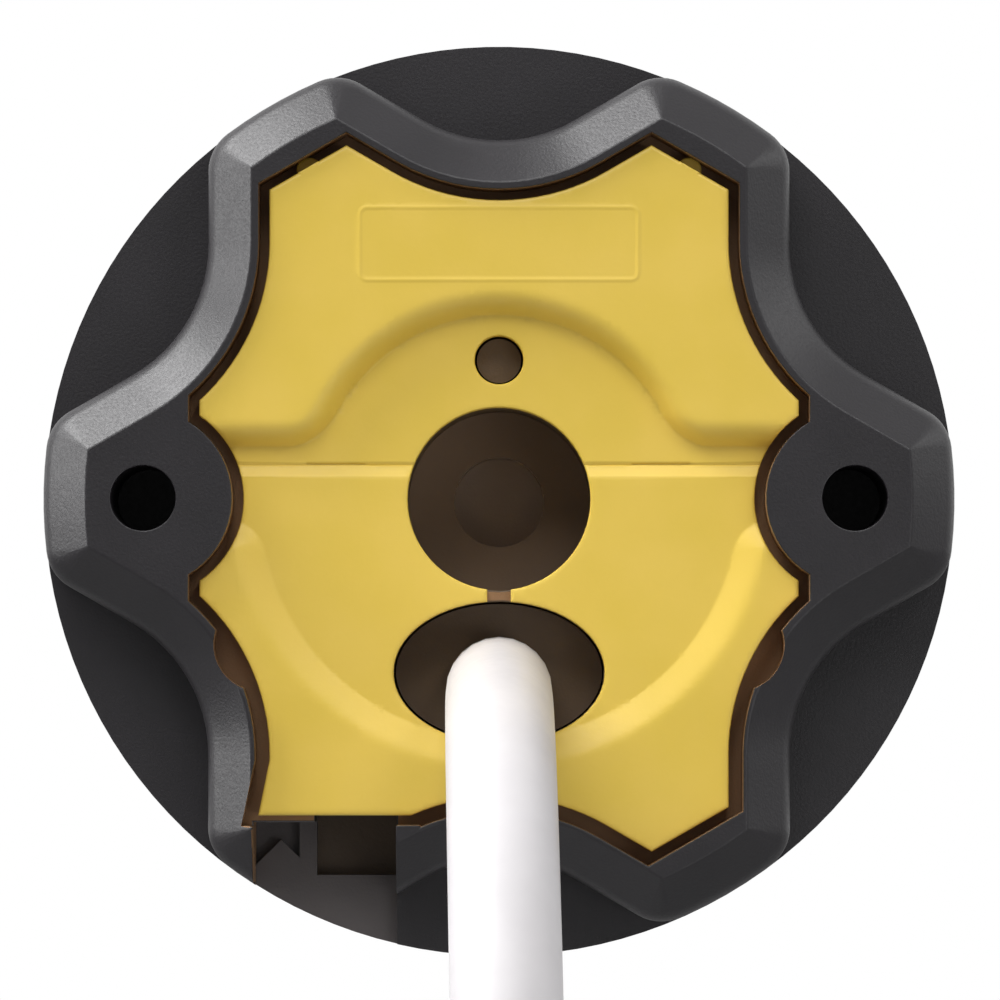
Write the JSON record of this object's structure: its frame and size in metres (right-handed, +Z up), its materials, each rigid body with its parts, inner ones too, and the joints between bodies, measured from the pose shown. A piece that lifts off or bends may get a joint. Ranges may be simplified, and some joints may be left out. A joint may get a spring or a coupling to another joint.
{
  "type": "tubular roller blind motor",
  "caption": "Tubular roller blind motor: star head with a yellow cover, steel tube, free crown, planetary gear, drive wheel and a hanging mains lead.",
  "frame": {"origin": "middle of the head's front mounting face, between the two screw holes", "axes": "+Y along the motor's axis from the head to the drive wheel, +Z up, +X to the right as seen from the front"},
  "size_m": [0.1048, 0.4503, 0.2811],
  "materials": {
    "black_plastic": "fine-grained moulded black plastic",
    "yellow_plastic": "satin moulded yellow plastic",
    "dark_plastic": "moulded black plastic",
    "grey_plastic": "moulded grey plastic",
    "white_plastic": "moulded white plastic",
    "blue_plastic": "moulded blue plastic",
    "gear_plastic": "moulded natural gear plastic",
    "tie_plastic": "moulded white strap",
    "circuit_board": "green solder resist",
    "white_cable": "smooth white sheath",
    "wire_insulation": "coloured wire insulation",
    "zinc_steel": "zinc-plated drawn steel",
    "bright_steel": "turned or stamped steel",
    "lamination_steel": "stacked electrical sheet",
    "iron": "plain iron",
    "aluminium": "die-cast aluminium",
    "copper": "enamelled copper",
    "brass": "sintered bronze or brass",
    "friction_lining": "friction lining"
  },
  "bodies": {
    "root": {"head_casing": "black_plastic", "front_cover": "yellow_plastic", "cable_plug": "black_plastic", "plug_contacts": "brass", "setting_switch": "grey_plastic", "motor_tube": "zinc_steel", "tube_rivets": "bright_steel", "board_cradle": "grey_plastic", "control_board": "circuit_board", "relays": "blue_plastic", "power_transformer": "dark_plastic", "smoothing_capacitor": "aluminium", "control_chips": "dark_plastic", "mains_connector": "white_plastic", "motor_connector": "white_plastic", "capacitor_cup": "grey_plastic", "run_capacitor": "white_plastic", "motor_leads": "wire_insulation", "encoder_board": "circuit_board", "front_bell": "aluminium", "rear_bell": "aluminium", "motor_bushes": "brass", "stator_core": "lamination_steel", "stator_windings": "copper", "thermal_cutout": "white_plastic", "brake_lining": "friction_lining", "brake_housing": "aluminium", "gearbox_plate": "bright_steel", "gearbox_housing": "grey_plastic", "gearbox_end_cap": "dark_plastic", "output_bush": "brass", "cable_lead": "white_cable", "cable_coil": "white_cable", "coil_tie": "tie_plastic", "cable_tail": "white_cable", "conductors": "wire_insulation"},
    "crown": {"crown": "dark_plastic"},
    "setting_button": {"setting_button": "black_plastic"},
    "rotor": {"rotor_core": "lamination_steel", "rotor_cage": "aluminium", "rotor_shaft": "bright_steel", "encoder_magnet": "iron", "sun_gear_1": "bright_steel", "brake_spring": "bright_steel"},
    "brake_armature": {"brake_armature": "iron"},
    "carrier_1": {"carrier_1": "bright_steel"},
    "carrier_2": {"carrier_2": "bright_steel"},
    "output": {"output_carrier": "bright_steel", "output_shaft": "bright_steel", "drive_wheel": "dark_plastic", "wheel_screw": "bright_steel"},
    "planet_1a": {"planet_1a": "gear_plastic"},
    "planet_1b": {"planet_1b": "gear_plastic"},
    "planet_1c": {"planet_1c": "gear_plastic"},
    "planet_2a": {"planet_2a": "bright_steel"},
    "planet_2b": {"planet_2b": "bright_steel"},
    "planet_2c": {"planet_2c": "bright_steel"},
    "planet_3a": {"planet_3a": "bright_steel"},
    "planet_3b": {"planet_3b": "bright_steel"},
    "planet_3c": {"planet_3c": "bright_steel"}
  },
  "joints": [
    {"name": "output_turn", "type": "hinge", "parent": "root", "child": "output", "pos_m": [0, 0, 0], "axis": [0, 1, 0], "continuous": true},
    {"name": "carrier_2_turn", "type": "hinge", "parent": "root", "child": "carrier_2", "pos_m": [0, 0, 0], "axis": [0, 1, 0], "continuous": true},
    {"name": "carrier_1_turn", "type": "hinge", "parent": "root", "child": "carrier_1", "pos_m": [0, 0, 0], "axis": [0, 1, 0], "continuous": true},
    {"name": "rotor_turn", "type": "hinge", "parent": "root", "child": "rotor", "pos_m": [0, 0, 0], "axis": [0, 1, 0], "continuous": true},
    {"name": "crown_turn", "type": "hinge", "parent": "root", "child": "crown", "pos_m": [0, 0, 0], "axis": [0, 1, 0], "continuous": true},
    {"name": "brake_release", "type": "slide", "parent": "rotor", "child": "brake_armature", "axis": [0, -1, 0], "range_m": [0, 0.0006], "stiffness_N_per_m": 300, "springref_m": -0.001, "deforming": ["brake_spring"]},
    {"name": "button_press", "type": "slide", "parent": "root", "child": "setting_button", "axis": [0, 1, 0], "range_m": [0, 0.0008], "stiffness_N_per_m": 250, "springref_m": -0.0005},
    {"name": "planet_1a_spin", "type": "hinge", "parent": "carrier_1", "child": "planet_1a", "pos_m": [0, 0.32267, 0.0099], "axis": [0, 1, 0], "continuous": true},
    {"name": "planet_1b_spin", "type": "hinge", "parent": "carrier_1", "child": "planet_1b", "pos_m": [0.00857, 0.32267, -0.00495], "axis": [0, 1, 0], "continuous": true},
    {"name": "planet_1c_spin", "type": "hinge", "parent": "carrier_1", "child": "planet_1c", "pos_m": [-0.00857, 0.32267, -0.00495], "axis": [0, 1, 0], "continuous": true},
    {"name": "planet_2a_spin", "type": "hinge", "parent": "carrier_2", "child": "planet_2a", "pos_m": [0, 0.33447, 0.0099], "axis": [0, 1, 0], "continuous": true},
    {"name": "planet_2b_spin", "type": "hinge", "parent": "carrier_2", "child": "planet_2b", "pos_m": [0.00857, 0.33447, -0.00495], "axis": [0, 1, 0], "continuous": true},
    {"name": "planet_2c_spin", "type": "hinge", "parent": "carrier_2", "child": "planet_2c", "pos_m": [-0.00857, 0.33447, -0.00495], "axis": [0, 1, 0], "continuous": true},
    {"name": "planet_3a_spin", "type": "hinge", "parent": "output", "child": "planet_3a", "pos_m": [0, 0.34627, 0.0099], "axis": [0, 1, 0], "continuous": true},
    {"name": "planet_3b_spin", "type": "hinge", "parent": "output", "child": "planet_3b", "pos_m": [0.00857, 0.34627, -0.00495], "axis": [0, 1, 0], "continuous": true},
    {"name": "planet_3c_spin", "type": "hinge", "parent": "output", "child": "planet_3c", "pos_m": [-0.00857, 0.34627, -0.00495], "axis": [0, 1, 0], "continuous": true}
  ],
  "couplings": [
    {"joint": "carrier_2_turn", "follows": "output_turn", "ratio": 5.5},
    {"joint": "carrier_1_turn", "follows": "output_turn", "ratio": 30.25},
    {"joint": "rotor_turn", "follows": "output_turn", "ratio": 166.38},
    {"joint": "planet_1a_spin", "follows": "output_turn", "ratio": -77.786},
    {"joint": "planet_1b_spin", "follows": "output_turn", "ratio": -77.786},
    {"joint": "planet_1c_spin", "follows": "output_turn", "ratio": -77.786},
    {"joint": "planet_2a_spin", "follows": "output_turn", "ratio": -14.143},
    {"joint": "planet_2b_spin", "follows": "output_turn", "ratio": -14.143},
    {"joint": "planet_2c_spin", "follows": "output_turn", "ratio": -14.143},
    {"joint": "planet_3a_spin", "follows": "output_turn", "ratio": -2.5714},
    {"joint": "planet_3b_spin", "follows": "output_turn", "ratio": -2.5714},
    {"joint": "planet_3c_spin", "follows": "output_turn", "ratio": -2.5714}
  ]
}
